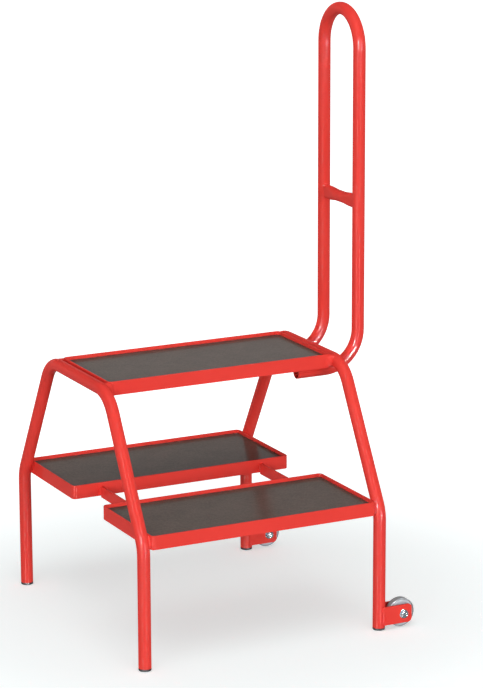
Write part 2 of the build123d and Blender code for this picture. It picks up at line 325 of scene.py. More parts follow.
def make_red_coat():
    """Glossy red powder coat on steel, with paler edges that are partly thin coat and partly a painted edge
    highlight.
    """
    material, tree, into = new_finish(
        "red_coat", Specular_IOR_Level=0.0, Coat_Weight=GLOSS_WEIGHT, Coat_Roughness=GLOSS_ROUGHNESS)
    tone = use(tree, TONE_DRIFT, Color=RED, Second_Color=RED_DEEP, Size=0.16, Mottle_Size=0.003, Mottle=0.35)
    edges = use(tree, EDGE_WEAR_AND_HIGHLIGHT, Width=0.0009, Break_Up_Size=0.012)["Mask"]
    # Paler edges: partly thin coat, partly a painted edge highlight.
    colour = blend(tree, sums(tree, "MULTIPLY", edges, RED_THIN_AND_HIGHLIGHT_SHARE), tone["Color"], RED_THIN_AND_HIGHLIGHT)
    rubs = use(tree, RUB_MARKS, Length=0.05, Width=0.0007, Share=0.25)["Mask"]
    plug(tree, into["Base Color"], colour)
    rough = sums(tree, "MULTIPLY_ADD", tone["Mask"], COAT_ROUGHNESS_DRIFT, COAT_ROUGHNESS)
    plug(tree, into["Roughness"], sums(tree, "MULTIPLY_ADD", rubs, COAT_ROUGHNESS_RUBBED, rough))
    ripple = use(tree, FLOW_RIPPLE, Size=0.0024, Grain_Size=0.0006, Grain=0.12)["Height"]
    plug(tree, into["Normal"], bump(tree, ripple, COAT_RELIEF))
    return material


FILM = (0.072, 0.054, 0.044, 1)
FILM_WARM = (0.152, 0.115, 0.093, 1)
FILM_GROOVE_SHADE = (0.065, 0.047, 0.038, 1)  # painted shade in the lines that the mesh leaves
FILM_GROOVE_SHADE_SHARE = 0.35
# Rubbed colour, also laid on the edges as wear and as a painted edge highlight.
FILM_RUBBED_AND_HIGHLIT = (0.165, 0.14, 0.12, 1)
FILM_RUBBED_SHARE, FILM_EDGE_WEAR_AND_HIGHLIGHT_SHARE = 0.25, 0.4
FILM_GLOSS, FILM_GLOSS_ROUGHNESS = 0.36, 0.2
FILM_ROUGHNESS, FILM_ROUGHNESS_DRIFT, FILM_ROUGHNESS_RUBBED = 0.42, 0.08, 0.1
FILM_RELIEF = 0.08 * MM
MESH_PITCH = 2.6 * MM
MESH_LEAN = 1.7
MESH_WIRE = 0.45
MESH_HEIGHT = 1.2  # of the ripple's height
PLY_LIGHT = (0.16, 0.09, 0.05, 1)
PLY_DARK = (0.07, 0.04, 0.025, 1)
PLY_PAIR = 2.8 * MM


def make_tread_film():
    """Dark film-faced board: a fine wire mesh pressed into the top with painted shade in its lines, smooth film
    below, plies at the sides.
    """
    material, tree, into = new_finish(
        "tread_film", Specular_IOR_Level=0.0, Coat_Weight=FILM_GLOSS, Coat_Roughness=FILM_GLOSS_ROUGHNESS)
    parts = node(tree, "ShaderNodeSeparateXYZ", None, Vector=surface_place(tree)).outputs
    normal = node(tree, "ShaderNodeTexCoord").outputs["Normal"]
    facing = node(tree, "ShaderNodeSeparateXYZ", None, Vector=normal).outputs["Z"]
    on_top = spread(tree, facing, 0.5, 0.9)
    wires = []
    for lean in (MESH_LEAN, -MESH_LEAN):
        along = sums(tree, "MULTIPLY_ADD", parts["Y"], lean, parts["X"])
        phase = sums(tree, "MULTIPLY", along, TAU / (2 * MESH_PITCH))
        wires.append(sums(tree, "ABSOLUTE", sums(tree, "SINE", phase)))
    mesh = sums(tree, "MINIMUM", *wires)
    pressed = sums(tree, "MULTIPLY", spread(tree, mesh, 0.0, MESH_WIRE), on_top)
    tone = use(tree, TONE_DRIFT, Color=FILM, Second_Color=FILM_WARM, Size=0.05, Mottle_Size=0.005, Mottle=0.85)
    rubs = use(tree, RUB_MARKS, Length=0.06, Width=0.0009, Share=0.45)["Mask"]
    edges = use(tree, EDGE_WEAR_AND_HIGHLIGHT, Width=0.0012, Break_Up_Size=0.01)["Mask"]
    sunk = sums(tree, "SUBTRACT", 1.0, pressed)
    # Painted shade in the pressed lines of the mesh.
    groove_shade = sums(tree, "MULTIPLY", sunk, sums(tree, "MULTIPLY", on_top, FILM_GROOVE_SHADE_SHARE))
    shaded = blend(tree, groove_shade, tone["Color"], FILM_GROOVE_SHADE)
    rubbed = blend(tree, sums(tree, "MULTIPLY", rubs, FILM_RUBBED_SHARE), shaded, FILM_RUBBED_AND_HIGHLIT)
    # Paler edges: partly wear, partly a painted edge highlight.
    worn_and_highlit = blend(tree, sums(tree, "MULTIPLY", edges, FILM_EDGE_WEAR_AND_HIGHLIGHT_SHARE), rubbed, FILM_RUBBED_AND_HIGHLIT)
    layers = sums(tree, "SINE", sums(tree, "MULTIPLY", parts["Z"], TAU / PLY_PAIR))
    ply = blend(tree, spread(tree, layers, -0.4, 0.4), PLY_LIGHT, PLY_DARK)
    on_side = sums(tree, "SUBTRACT", 1.0, spread(tree, sums(tree, "ABSOLUTE", facing), 0.25, 0.5))
    plug(tree, into["Base Color"], blend(tree, on_side, worn_and_highlit, ply))
    rough = sums(tree, "MULTIPLY_ADD", tone["Mask"], FILM_ROUGHNESS_DRIFT, FILM_ROUGHNESS)
    plug(tree, into["Roughness"], sums(tree, "MULTIPLY_ADD", rubs, FILM_ROUGHNESS_RUBBED, rough))
    ripple = use(tree, FLOW_RIPPLE, Size=0.006, Grain_Size=0.0008, Grain=0.2)["Height"]
    height = sums(tree, "MULTIPLY_ADD", pressed, MESH_HEIGHT, ripple)
    plug(tree, into["Normal"], bump(tree, height, FILM_RELIEF))
    return material


MOULDED_EDGE_WEAR_AND_HIGHLIGHT_SHARE, MOULDED_RUB_SHARE = 0.5, 0.35
MOULDED_ROUGHNESS_DRIFT = 0.1
MOULDED_RELIEF = 0.08 * MM


def make_moulded(name, colour, second, wear_and_highlight_colour, roughness, grain, ripple_size, specular=0.5):
    """A moulded plastic or rubber: faint flow marks, a fine skin, and paler edges that are partly wear and
    partly a painted edge highlight.
    """
    material, tree, into = new_finish(name, Specular_IOR_Level=specular)
    tone = use(tree, TONE_DRIFT, Color=colour, Second_Color=second, Size=0.02, Mottle_Size=0.0012, Mottle=0.45)
    edges = use(tree, EDGE_WEAR_AND_HIGHLIGHT, Width=0.0007, Break_Up_Size=0.004)["Mask"]
    rubs = use(tree, RUB_MARKS, Length=0.012, Width=0.0004, Share=0.4)["Mask"]
    # Paler edges: partly wear, partly a painted edge highlight.
    pale_edges = sums(tree, "MULTIPLY", edges, MOULDED_EDGE_WEAR_AND_HIGHLIGHT_SHARE)
    worn_and_highlit = sums(tree, "MAXIMUM", pale_edges, sums(tree, "MULTIPLY", rubs, MOULDED_RUB_SHARE))
    plug(tree, into["Base Color"], blend(tree, worn_and_highlit, tone["Color"], wear_and_highlight_colour))
    plug(tree, into["Roughness"], sums(tree, "MULTIPLY_ADD", tone["Mask"], MOULDED_ROUGHNESS_DRIFT, roughness))
    ripple = use(tree, FLOW_RIPPLE, Size=ripple_size, Grain_Size=ripple_size / 4, Grain=grain)["Height"]
    plug(tree, into["Normal"], bump(tree, ripple, MOULDED_RELIEF))
    return material


ZINC_BLUE = (0.17, 0.215, 0.27, 1)
ZINC_STRAW = (0.27, 0.285, 0.29, 1)
ZINC_WORN_AND_HIGHLIT = (0.47, 0.50, 0.54, 1)  # on edges: rubbed zinc, and a painted edge highlight
ZINC_WORN_AND_HIGHLIT_SHARE = 0.6
ZINC_ROUGHNESS, ZINC_ROUGHNESS_DRIFT, ZINC_ROUGHNESS_RUBBED = 0.14, 0.08, 0.12
ZINC_RELIEF = 0.03 * MM


def make_zinc_plate():
    """Zinc plate with a faint blue and straw tint, written dark because the glint lamp lights it strongly."""
    material, tree, into = new_finish("zinc_plate", Metallic=1.0)
    tone = use(
        tree, TONE_DRIFT, Color=ZINC_BLUE, Second_Color=ZINC_STRAW, Size=0.006, Mottle_Size=0.0007, Mottle=0.5)
    edges = use(tree, EDGE_WEAR_AND_HIGHLIGHT, Width=0.0005, Break_Up_Size=0.002)["Mask"]
    rubs = use(tree, RUB_MARKS, Length=0.006, Width=0.00025, Share=0.5)["Mask"]
    # Brighter edges: partly rubbed zinc, partly a painted edge highlight.
    bright = sums(tree, "MULTIPLY", edges, ZINC_WORN_AND_HIGHLIT_SHARE)
    plug(tree, into["Base Color"], blend(tree, bright, tone["Color"], ZINC_WORN_AND_HIGHLIT))
    rough = sums(tree, "MULTIPLY_ADD", tone["Mask"], ZINC_ROUGHNESS_DRIFT, ZINC_ROUGHNESS)
    plug(tree, into["Roughness"], sums(tree, "MULTIPLY_ADD", rubs, ZINC_ROUGHNESS_RUBBED, rough))
    ripple = use(tree, FLOW_RIPPLE, Size=0.0009, Grain_Size=0.0002, Grain=0.3)["Height"]
    plug(tree, into["Normal"], bump(tree, ripple, ZINC_RELIEF))
    return material


FINISHES = {
    "red_coat": make_red_coat(),
    "tread_film": make_tread_film(),
    "black_plastic": make_moulded(
        "black_plastic", (0.016, 0.016, 0.017, 1), (0.024, 0.024, 0.025, 1), (0.06, 0.06, 0.062, 1),
        roughness=0.5, grain=0.5, ripple_size=1.2 * MM, specular=0.2),
    "grey_plastic": make_moulded(
        "grey_plastic", (0.46, 0.53, 0.58, 1), (0.51, 0.56, 0.60, 1), (0.62, 0.66, 0.68, 1),
        roughness=0.3, grain=0.3, ripple_size=1.5 * MM),
    "grey_tyre": make_moulded(
        "grey_tyre", (0.235, 0.255, 0.265, 1), (0.26, 0.28, 0.29, 1), (0.30, 0.305, 0.31, 1),
        roughness=0.42, grain=0.4, ripple_size=1.4 * MM),
    "zinc_plate": make_zinc_plate(),
}
NYLON = make_moulded(
    "nylon_ring", (0.55, 0.58, 0.6, 1), (0.62, 0.64, 0.65, 1), (0.75, 0.76, 0.77, 1),
    roughness=0.4, grain=0.3, ripple_size=0.8 * MM)

for entry in frame["record"]["subparts"]:
    solid = frame["nodes"][entry["node"]]
    solid.data.materials.clear()
    solid.data.materials.append(FINISHES[entry["material_slot"]])


# Meshes

def new_piece(name, vertices, faces, slot, body, replaced=(), finishes=None, finish_of=None):
    """A smooth-shaded mesh that rides on a body and takes a slot's finish."""
    mesh = bpy.data.meshes.new(name)
    mesh.from_pydata(vertices, [], faces)
    mesh.validate()
    for finish in finishes or (FINISHES[slot],):
        mesh.materials.append(finish)
    mesh.shade_smooth()
    if finish_of:
        for polygon, index in zip(mesh.polygons, finish_of):
            polygon.material_index = index
    piece = bpy.data.objects.new(name, mesh)
    bpy.context.scene.collection.objects.link(piece)
    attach(piece, body)
    if replaced:
        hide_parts(*replaced)


class Surface:
    """Points and faces, gathered from several strips before they become one mesh."""

    def __init__(self):
        self.points, self.faces, self.finish = [], [], []

    def rings(self, rings, closed_along=False, start_cap=False, end_cap=False, finish=0):
        """Joins rings of equally many points by quads."""
        first, count = len(self.points), len(rings[0])
        for ring in rings:
            self.points.extend(ring)
        rows = len(rings) if closed_along else len(rings) - 1
        for row in range(rows):
            here, there = first + row * count, first + (row + 1) % len(rings) * count
            for column in range(count):
                beside = (column + 1) % count
                self.add_face((here + column, here + beside, there + beside, there + column), finish)
        if start_cap:
            self.add_face(tuple(first + i for i in reversed(range(count))), finish)
        if end_cap:
            last = first + (len(rings) - 1) * count
            self.add_face(tuple(last + i for i in range(count)), finish)

    def add_face(self, face, finish):
        self.faces.append(face)
        self.finish.append(finish)


def wobble(distance, seed):
    """A steady hand's unevenness along a bead, from -1 to 1."""
    slow = math.sin(distance / (5.3 * MM) + 1.7 * seed)
    quick = math.sin(distance / (2.1 * MM) + 2.9 * seed)
    return (slow + 0.6 * quick) / 1.6


BEAD_STEP = 0.45 * MM
BEAD_SIDES = 14
BEAD_RIPPLE_PITCH = 2.1 * MM
BEAD_RIPPLE = 0.11
BEAD_UNEVEN = 0.07
BEAD_DRIFT = 0.12  # sideways, of its radius
BEAD_END = 1.4  # radii that it takes to run out
THINNEST = 0.02  # keeps the last ring of a run-out from closing


def lay_bead(surface, path, radius, seed, closed=False):
    """A weld bead along a path of points: a round ridge of overlapping ripples, run out at both ends."""
    points = [Vector(p) for p in path]
    if closed:
        points.append(points[0])
    lengths = [0.0]
    for a, b in zip(points, points[1:]):
        lengths.append(lengths[-1] + (b - a).length)
    total = lengths[-1]
    steps = max(8, round(total / BEAD_STEP))
    rings, leg = [], 0
    reference = None
    for step in range(steps if closed else steps + 1):
        travelled = total * step / steps
        while leg < len(points) - 2 and lengths[leg + 1] < travelled:
            leg += 1
        span = lengths[leg + 1] - lengths[leg]
        centre = points[leg].lerp(points[leg + 1], (travelled - lengths[leg]) / span)
        before, after = points[max(leg - 1, 0)], points[min(leg + 2, len(points) - 1)]
        ahead = (points[leg + 1] - points[leg]).normalized() if closed else (after - before).normalized()
        if reference is None:
            reference = ahead.orthogonal().normalized()
        reference = (reference - ahead * reference.dot(ahead)).normalized()
        side = ahead.cross(reference)
        saw = travelled / BEAD_RIPPLE_PITCH % 1.0
        ripple = 1 + BEAD_RIPPLE * (math.sqrt(saw) - 0.6) + BEAD_UNEVEN * wobble(travelled, seed)
        if not closed:
            to_end = min(travelled, total - travelled) / (BEAD_END * radius)
            ripple *= math.sqrt(max(THINNEST, 1 - (1 - min(1.0, to_end)) ** 2))
        shift = side * (BEAD_DRIFT * radius * wobble(travelled + total, seed + 3))
        rings.append([
            centre + shift + (reference * math.cos(a) + side * math.sin(a)) * (radius * ripple)
            for a in (TAU * i / BEAD_SIDES for i in range(BEAD_SIDES))
        ])
    surface.rings(rings, closed_along=closed, start_cap=not closed, end_cap=not closed)


def straight(start, end, count=12):
    return [Vector(start).lerp(Vector(end), i / count) for i in range(count + 1)]


FILL_ROWS, FILL_COLUMNS = 56, 18
FILL_START = 10 * MM  # on the tread's outer face, from its end
FILL_BITE = 0.8 * MM  # into the tube
FILL_CLIMB = 5 * MM  # up the tube's side
FILL_BULGE, FILL_LUMP = 0.7 * MM, 0.6 * MM
FILL_DEPTH = 7 * MM
FILL_END = 4.5 * MM
FILL_PITCH = 3.4 * MM
FILL_ABOVE_BOTTOM, FILL_BELOW_TOP = 0.8 * MM, 1.2 * MM


def fill_corner(surface, end, x_side, y_side, seed):
    """A heaped weld that fills the corner between the top tread's outer face and the bent tube."""
    bottom, top = TOP_TREAD_BOTTOM + FILL_ABOVE_BOTTOM, TOP_TREAD_TOP - FILL_BELOW_TOP
    tube_z = TOP_TUBE_Z - top_bend_drop(TOP_TREAD_Y)
    start_x = TREAD_END_X[end] - x_side * FILL_START
    rings = []
    for row in range(FILL_ROWS + 1):
        z = bottom + (top - bottom) * row / FILL_ROWS
        reach = math.sqrt(max(0.0, TUBE_R ** 2 - (z - tube_z) ** 2))
        end_x = FRAME_X[end] - x_side * max(0.0, reach - FILL_BITE)
        to_end = min(1.0, min(z - bottom, top - z) / FILL_END)
        fullness = math.sqrt(max(THINNEST, 1 - (1 - to_end) ** 2))
        saw = math.sqrt((z / FILL_PITCH + 0.4 * seed) % 1.0) - 0.6
        front = []
        for column in range(FILL_COLUMNS + 1):
            share = column / FILL_COLUMNS
            heap = math.sin(math.pi * share)
            lump = saw + 0.8 * wobble(z + 0.9 * (end_x - start_x) * share, seed)
            lump += 0.6 * wobble(3 * share * FILL_DEPTH, seed + 5)
            proud = FILL_CLIMB * share ** 1.6 + (FILL_BULGE + FILL_LUMP * lump) * heap
            front.append((start_x + (end_x - start_x) * share, proud))
        middle_x = (start_x + end_x) / 2
        outline = [(x, fullness * proud - (1 - fullness) * FILL_DEPTH / 2) for x, proud in front]
        outline += [(x, -FILL_DEPTH) for x, proud in reversed(front[2:-2])]
        narrowed = 0.5 + 0.5 * fullness
        rings.append([
            (middle_x + (x - middle_x) * narrowed, y_side * (TOP_TREAD_Y + proud), z) for x, proud in outline
        ])
    surface.rings(rings, start_cap=True, end_cap=True)


LEG_GROOVE = 6.4 * MM  # either side of the tube's centreline
LEG_BEAD, LEG_BEAD_OUT, LEG_BEAD_POINTS = 2.9 * MM, 0.8 * MM, 16
LEG_BEAD_ABOVE_BOTTOM, LEG_BEAD_SHORTER = 1.5 * MM, 3.5 * MM
TOP_BEAD, TOP_BEAD_OUT, TOP_BEAD_RISE = 2.4 * MM, 1.2 * MM, 5.5 * MM
TOP_BEAD_STARTS, TOP_BEAD_LENGTH = (30 * MM, 72 * MM), 26 * MM


def make_tread_welds():
    """Beads in the grooves where the treads' ends meet the bent tubes, and a heaped weld at each top corner."""
    for end, x_side in ENDS:
        surface, seed = Surface(), 0
        end_x = TREAD_END_X[end]
        for _, y_side in FACES:
            length = LOW_TREAD_TOP - LOW_TREAD_BOTTOM - LEG_BEAD_SHORTER
            for groove in (-LEG_GROOVE, LEG_GROOVE):
                path = []
                for i in range(LEG_BEAD_POINTS + 1):
                    z = LOW_TREAD_BOTTOM + LEG_BEAD_ABOVE_BOTTOM + length * i / LEG_BEAD_POINTS
                    path.append((end_x + x_side * LEG_BEAD_OUT, y_side * (leg_line(z) + groove), z))
                seed += 1
                lay_bead(surface, path, LEG_BEAD, seed)
            seed += 1
            fill_corner(surface, end, x_side, y_side, seed)
            x, z = end_x + x_side * TOP_BEAD_OUT, TOP_TREAD_BOTTOM + TOP_BEAD_RISE
            for start in TOP_BEAD_STARTS:
                path = straight((x, y_side * start, z), (x, y_side * (start + TOP_BEAD_LENGTH), z))
                seed += 1
                lay_bead(surface, path, TOP_BEAD, seed)
        new_piece(f"tread_welds_{end}", surface.points, surface.faces, "red_coat", "frame")


TIE_BEAD, TIE_BEAD_OUT, TIE_BEAD_RISE = 2.7 * MM, 0.9 * MM, 0.6 * MM


def make_tie_welds():
    """Upright beads on both sides of each tie bar's ends."""
    surface, seed = Surface(), 20
    for end, _ in ENDS:
        low, high = (Vector(c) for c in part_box(f"tie_bar_{end}"))
        for x in (low.x - TIE_BEAD_OUT, high.x + TIE_BEAD_OUT):
            for y_side in (-1, 1):
                y = y_side * (LOW_TREAD_INNER_Y - TIE_BEAD_OUT)
                seed += 1
                path = straight((x, y, LOW_TREAD_BOTTOM + TIE_BEAD_RISE), (x, y, high.z))
                lay_bead(surface, path, TIE_BEAD, seed)
    new_piece("tie_bar_welds", surface.points, surface.faces, "red_coat", "frame")


CROSSBAR_BEAD, CROSSBAR_BEAD_IN, CROSSBAR_BEAD_POINTS = 1.9 * MM, 0.3 * MM, 64
RUN_GROOVE = 6.2 * MM  # either side of the rail's centreline
RUN_BEAD, RUN_BEAD_DROP = 2.5 * MM, 0.8 * MM
RUN_BEAD_START, RUN_BEAD_END = 2 * MM, 1.5 * MM  # from the flange's two edges
CROSSING_R, CROSSING_BEAD, CROSSING_DROP, CROSSING_POINTS = 6.5 * MM, 2.7 * MM, 1.2 * MM, 32


def make_handrail_welds():
    """Beads round the crossbar's ends, and where the handrail lies under the top tread and the end frame."""
    surface, seed = Surface(), 40
    half_width = CROSSBAR_END_WIDTH / 2
    half_flat = CROSSBAR_END_HEIGHT / 2 - half_width
    for y_side in (-1, 1):
        loop = []
        for i in range(CROSSBAR_BEAD_POINTS):
            angle = TAU * i / CROSSBAR_BEAD_POINTS
            x = half_width * math.cos(angle)
            y = RAIL_Y - math.sqrt(TUBE_R ** 2 - x ** 2) - CROSSBAR_BEAD_IN
            z = half_width * math.sin(angle) + math.copysign(half_flat, math.sin(angle))
            loop.append((RAIL_X + x, y_side * y, CROSSBAR_Z + z))
        seed += 1
        lay_bead(surface, loop, CROSSBAR_BEAD, seed, closed=True)
        end_x, z = TREAD_END_X["right"], TOP_TREAD_BOTTOM - RUN_BEAD_DROP
        for groove in (-RUN_GROOVE, RUN_GROOVE):
            y = y_side * RAIL_Y + groove
            path = straight((end_x - TREAD_FLANGE + RUN_BEAD_START, y, z), (end_x - RUN_BEAD_END, y, z))
            seed += 1
            lay_bead(surface, path, RUN_BEAD, seed)
        crossing = []
        for i in range(CROSSING_POINTS):
            angle = TAU * i / CROSSING_POINTS
            x = FRAME_X["right"] + CROSSING_R * math.cos(angle)
            y = y_side * RAIL_Y + CROSSING_R * math.sin(angle)
            crossing.append((x, y, TOP_TUBE_Z - TUBE_R - CROSSING_DROP))
        seed += 1
        lay_bead(surface, crossing, CROSSING_BEAD, seed, closed=True)
    new_piece("handrail_welds", surface.points, surface.faces, "red_coat", "frame")


# Beads at a fork cheek, columns: from the cheek's start, from the leg's centreline, radius
FORK_BEADS = ((-0.4 * MM, 13.2 * MM, 2.6 * MM), (5.2 * MM, 11.6 * MM, 1.9 * MM))
FORK_BEAD_INSET = 1 * MM


def make_fork_welds():
    """Upright beads along the start of each fork cheek, outside and in the groove behind it."""
    surface, seed = Surface(), 70
    for face, out in FACES:
        for place, way in (("outer", 1), ("inner", -1)):
            low, high = (Vector(c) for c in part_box(f"fork_cheek_{face}_{place}"))
            for along, aside, radius in FORK_BEADS:
                x, y = low.x + along, out * LEG_Y + out * way * aside
                path = straight((x, y, low.z + FORK_BEAD_INSET), (x, y, high.z - FORK_BEAD_INSET))
                seed += 1
                lay_bead(surface, path, radius, seed)
    new_piece("fork_welds", surface.points, surface.faces, "red_coat", "frame")


SEAM_START, SEAM_SHORT, SEAM_BEAD, SEAM_RISE = 3.0 * MM, 0.6 * MM, 1.5 * MM, 0.5 * MM


def make_mitre_seams():
    """Low seams across the flanges at the corners of the tread frames, seen from below."""
    surface, seed = Surface(), 100
    for tread in ("top", "front", "rear"):
        low, high = (Vector(c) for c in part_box(f"{tread}_tread_frame"))
        for x, x_in in ((low.x, 1), (high.x, -1)):
            for y, y_in in ((low.y, 1), (high.y, -1)):
                seed += 1
                path = straight(*(
                    (x + x_in * reach, y + y_in * reach, low.z + SEAM_RISE)
                    for reach in (SEAM_START, TREAD_FLANGE - SEAM_SHORT)
                ))
                lay_bead(surface, path, SEAM_BEAD, seed)
    new_piece("tread_corner_seams", surface.points, surface.faces, "red_coat", "frame")


# Turned and hexagonal pieces, in a local frame with z along their axis

def stood(points, origin, axis):
    """Moves points from a local frame to a place and an axis in the row frame."""
    turn = Vector((0, 0, 1)).rotation_difference(Vector(axis)).to_matrix()
    return [turn @ Vector(p) + Vector(origin) for p in points]


def turned_rings(profile, sides):
    """Rings of a turned form. Profile columns: radius, height."""
    angles = [TAU * i / sides for i in range(sides)]
    return [[(r * math.cos(a), r * math.sin(a), z) for a in angles] for r, z in profile]


def arc(centre, radius, start, end, count):
    """Points of an arc in a profile, angles in degrees."""
    steps = (math.radians(start + (end - start) * i / count) for i in range(count + 1))
    return [(centre[0] + radius * math.cos(a), centre[1] + radius * math.sin(a)) for a in steps]


HEX_SIDES = 96
HEX_CORNER = 7.42 * MM  # where a corner is rounded off
HEX_FLAT = 0.95 * HEX_ACROSS_FLATS / 2  # radius of a chamfered end
HEX_CHAMFER_SLOPE = math.tan(math.radians(30))
HEX_EDGE_IN, HEX_EDGE_DOWN, HEX_PLAIN_EDGE_IN = 0.06 * MM, 0.08 * MM, 0.05 * MM


def hex_radius(angle):
    """Outline of a hexagon whose corners are slightly rounded."""
    turned = (angle + math.pi / 6) % (math.pi / 3) - math.pi / 6
    return min(HEX_ACROSS_FLATS / 2 / math.cos(turned), HEX_CORNER)


def hex_rings(bottom, top, chamfer_bottom):
    """Rings of a hexagon with turned chamfers, whose edges curve over each flat."""
    rings = []
    angles = [TAU * i / HEX_SIDES for i in range(HEX_SIDES)]
    radii = [hex_radius(a) for a in angles]

    def ring(radius_of, height_of):
        rings.append([
            (radius_of(r) * math.cos(a), radius_of(r) * math.sin(a), height_of(r))
            for a, r in zip(angles, radii)
        ])

    def drop(r):
        return (r - HEX_FLAT) * HEX_CHAMFER_SLOPE

    if chamfer_bottom:
        ring(lambda r: HEX_FLAT, lambda r: bottom)
        ring(lambda r: r - HEX_EDGE_IN, lambda r: bottom + drop(r))
        ring(lambda r: r, lambda r: bottom + drop(r) + HEX_EDGE_DOWN)
    else:
        ring(lambda r: r - HEX_PLAIN_EDGE_IN, lambda r: bottom)
        ring(lambda r: r, lambda r: bottom + HEX_EDGE_DOWN)
    for share in (0.3, 0.6):
        ring(lambda r: r, lambda r, share=share: bottom + (top - bottom) * share)
    ring(lambda r: r, lambda r: top - drop(r) - HEX_EDGE_DOWN)
    ring(lambda r: r - HEX_EDGE_IN, lambda r: top - drop(r))
    ring(lambda r: HEX_FLAT, lambda r: top)
    return rings


BEARING_R, BEARING_EDGE_R = 6.05 * MM, 5.9 * MM  # washer face under the bolt's head
BEARING_EDGE, BEARING_HEIGHT = 0.08 * MM, 0.25 * MM
# Dish in the bolt's head, columns: radius, depth
HEAD_DISH = ((HEX_FLAT - 0.25 * MM, 0.02 * MM), (0.6 * HEX_FLAT, 0.16 * MM), (0.2 * HEX_FLAT, 0.2 * MM))
SHANK_SIDES, SHANK_INTO_HEAD = 48, 0.5 * MM
THREAD_LENGTH, THREAD_ROWS, THREAD_DEPTH = 12 * MM, 130, 0.62 * MM
POINT_LENGTH, POINT_DEPTH = 0.8 * MM, 0.75 * MM


def make_axle_bolt(face, out):
    """Hexagon bolt: turned chamfer on the head, and a thread where it comes out of the nut."""
    surface = Surface()
    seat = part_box(f"axle_washers_{face}")[0 if out < 0 else 1][1]
    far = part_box(f"axle_bolt_{face}")[1 if out < 0 else 0][1]
    shank_r = BOLT_DIAMETER / 2
    bearing_profile = (
        (shank_r, 0), (BEARING_EDGE_R, 0), (BEARING_R, BEARING_EDGE), (BEARING_R, BEARING_HEIGHT),
    )
    bearing = turned_rings(bearing_profile, HEX_SIDES)
    rings = hex_rings(BEARING_HEIGHT, BOLT_HEAD_HEIGHT, False)
    dish = turned_rings([(radius, BOLT_HEAD_HEIGHT - depth) for radius, depth in HEAD_DISH], HEX_SIDES)
    surface.rings(bearing + rings + dish, end_cap=True)
    length = abs(far - seat)
    thread_start = -(length - THREAD_LENGTH)
    surface.rings(turned_rings(((shank_r, SHANK_INTO_HEAD), (shank_r, thread_start)), SHANK_SIDES))
    thread = []
    for row in range(THREAD_ROWS + 1):
        z = thread_start - THREAD_LENGTH * row / THREAD_ROWS
        to_end = (length + z) / POINT_LENGTH
        ring = []
        for i in range(SHANK_SIDES):
            angle = TAU * i / SHANK_SIDES
            phase = (z / THREAD_PITCH - angle / TAU) % 1.0
            depth = THREAD_DEPTH * (1 - abs(2 * phase - 1))
            radius = min(shank_r - depth, shank_r - POINT_DEPTH + POINT_DEPTH * min(1.0, to_end))
            ring.append((radius * math.cos(angle), radius * math.sin(angle), z))
        thread.append(ring)
    surface.rings(thread, end_cap=True)
    points = stood(surface.points, (AXLE[face].x, seat, AXLE[face].z), (0, out, 0))
    new_piece(f"axle_bolt_detail_{face}", points, surface.faces, "zinc_plate", "frame", (f"axle_bolt_{face}",))


COLLAR_HEIGHT = 2.6 * MM
# Crimped collar, columns: radius, height above the hexagon
COLLAR_FOOT = ((5.85 * MM, 0.0), (5.75 * MM, 0.25 * MM), (5.7 * MM, COLLAR_HEIGHT - 1.0 * MM))
COLLAR_CRIMP, COLLAR_CRIMP_R, COLLAR_LIP_R = 0.8 * MM, 4.9 * MM, 4.75 * MM
NUT_FACE_INSET = 0.2 * MM
NUT_CLEARANCE = 0.05 * MM


def make_axle_nut(face, out):
    """Locking nut: hexagon, crimped collar and a nylon ring round the thread."""
    surface = Surface()
    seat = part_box(f"axle_washers_{face}")[1 if out < 0 else 0][1]
    hex_top = NUT_HEIGHT - COLLAR_HEIGHT
    bore = BOLT_DIAMETER / 2 + NUT_CLEARANCE
    start = turned_rings(((bore, 0.0), (HEX_FLAT - NUT_FACE_INSET, 0.0)), HEX_SIDES)
    collar = [(radius, hex_top + rise) for radius, rise in COLLAR_FOOT]
    collar += arc((COLLAR_CRIMP_R, NUT_HEIGHT - COLLAR_CRIMP), COLLAR_CRIMP, 0, 90, 6)
    collar.append((COLLAR_LIP_R, NUT_HEIGHT - 0.1 * MM))
    surface.rings(start + hex_rings(0, hex_top, True) + turned_rings(collar, HEX_SIDES))
    nylon = [
        (COLLAR_LIP_R, NUT_HEIGHT - 0.12 * MM), (4.6 * MM, NUT_HEIGHT - 0.25 * MM),
        (bore + 0.1 * MM, NUT_HEIGHT - 0.35 * MM), (bore, NUT_HEIGHT - 0.6 * MM), (bore, 0.0),
    ]
    surface.rings(turned_rings(nylon, HEX_SIDES), finish=1)
    points = stood(surface.points, (AXLE[face].x, seat, AXLE[face].z), (0, -out, 0))
    new_piece(
        f"axle_nut_detail_{face}", points, surface.faces, "zinc_plate", "frame", (f"axle_nut_{face}",),
        (FINISHES["zinc_plate"], NYLON), surface.finish)


TURNED_SIDES = 72
WASHER_CLEARANCE = 0.2 * MM
WASHER_ROUND, WASHER_BURR, WASHER_BORE_EDGE = 0.35 * MM, 0.1 * MM, 0.15 * MM


